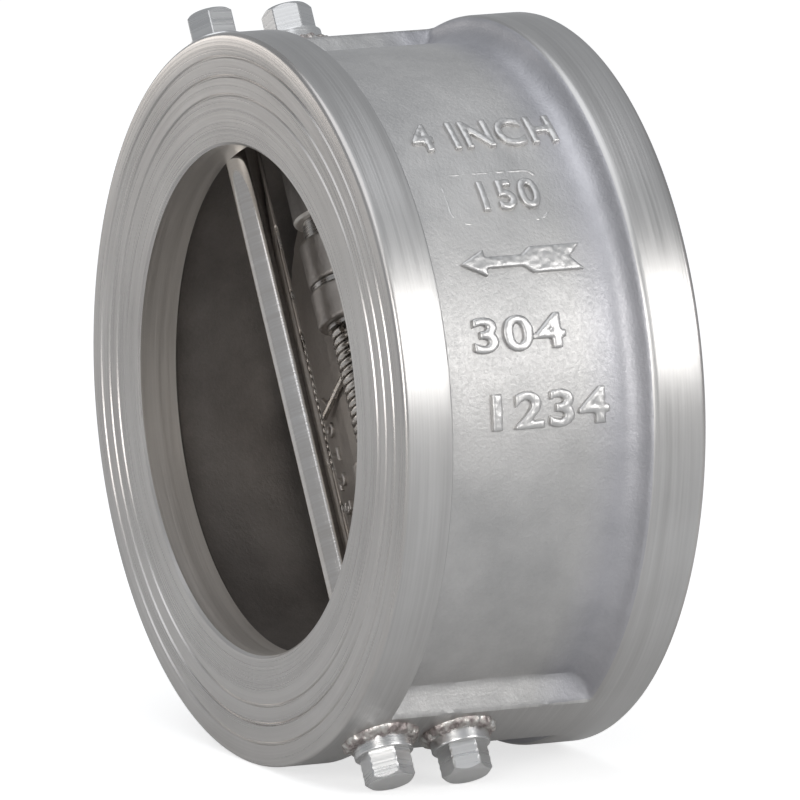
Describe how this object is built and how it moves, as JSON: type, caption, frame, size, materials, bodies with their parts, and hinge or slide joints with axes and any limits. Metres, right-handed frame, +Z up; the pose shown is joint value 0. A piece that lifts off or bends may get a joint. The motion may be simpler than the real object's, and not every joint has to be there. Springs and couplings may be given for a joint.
{
  "type": "dual plate wafer check valve",
  "caption": "Wafer check valve for clamping between pipe flanges: ring body, twin sprung half-disc plates on a hinge pin, and a stop pin across the outlet.",
  "frame": {"origin": "on the bore axis, midway between the inlet and outlet faces", "axes": "+Y along the bore from the outlet face to the inlet face, against the flow; +Z up with the valve standing on its rims and lower plug ends, which leans the pins 30.7 degrees towards -X"},
  "size_m": [0.162, 0.073, 0.162],
  "materials": {
    "cast_steel": "blast-cleaned stainless casting with turned rims and faces",
    "ground_steel": "ground and polished bar",
    "plate_steel": "blasted stainless casting",
    "plug_steel": "bright milled bar",
    "weld_metal": "as-welded bead with heat tint",
    "bearing_steel": "turned washer",
    "spring_wire": "drawn spring wire"
  },
  "bodies": {
    "valve_body": {"body": "cast_steel", "hinge_pin": "ground_steel", "stop_pin": "ground_steel", "stop_plug_upper": "plug_steel", "hinge_plug_upper": "plug_steel", "stop_weld_upper": "weld_metal", "hinge_weld_upper": "weld_metal", "body_bearing_upper": "bearing_steel", "lug_bearing_upper": "bearing_steel", "spring_bearing_upper": "bearing_steel", "stop_plug_lower": "plug_steel", "hinge_plug_lower": "plug_steel", "stop_weld_lower": "weld_metal", "hinge_weld_lower": "weld_metal", "body_bearing_lower": "bearing_steel", "lug_bearing_lower": "bearing_steel", "spring_bearing_lower": "bearing_steel", "torsion_spring": "spring_wire"},
    "left_plate": {"plate_left": "plate_steel", "spring_leg_left": "spring_wire"},
    "right_plate": {"plate_right": "plate_steel", "spring_leg_right": "spring_wire"}
  },
  "joints": [
    {"name": "left_plate_hinge", "type": "hinge", "parent": "valve_body", "child": "left_plate", "pos_m": [0, -0.0047, 0], "axis": [-0.5105, 0, 0.8599], "range_deg": [0, 77.5], "stiffness_Nm_per_rad": 0.25, "springref_deg": -68.75},
    {"name": "right_plate_hinge", "type": "hinge", "parent": "valve_body", "child": "right_plate", "pos_m": [0, -0.0047, 0], "axis": [-0.5105, 0, 0.8599], "range_deg": [-77.5, 0], "stiffness_Nm_per_rad": 0.25, "springref_deg": 68.75}
  ]
}
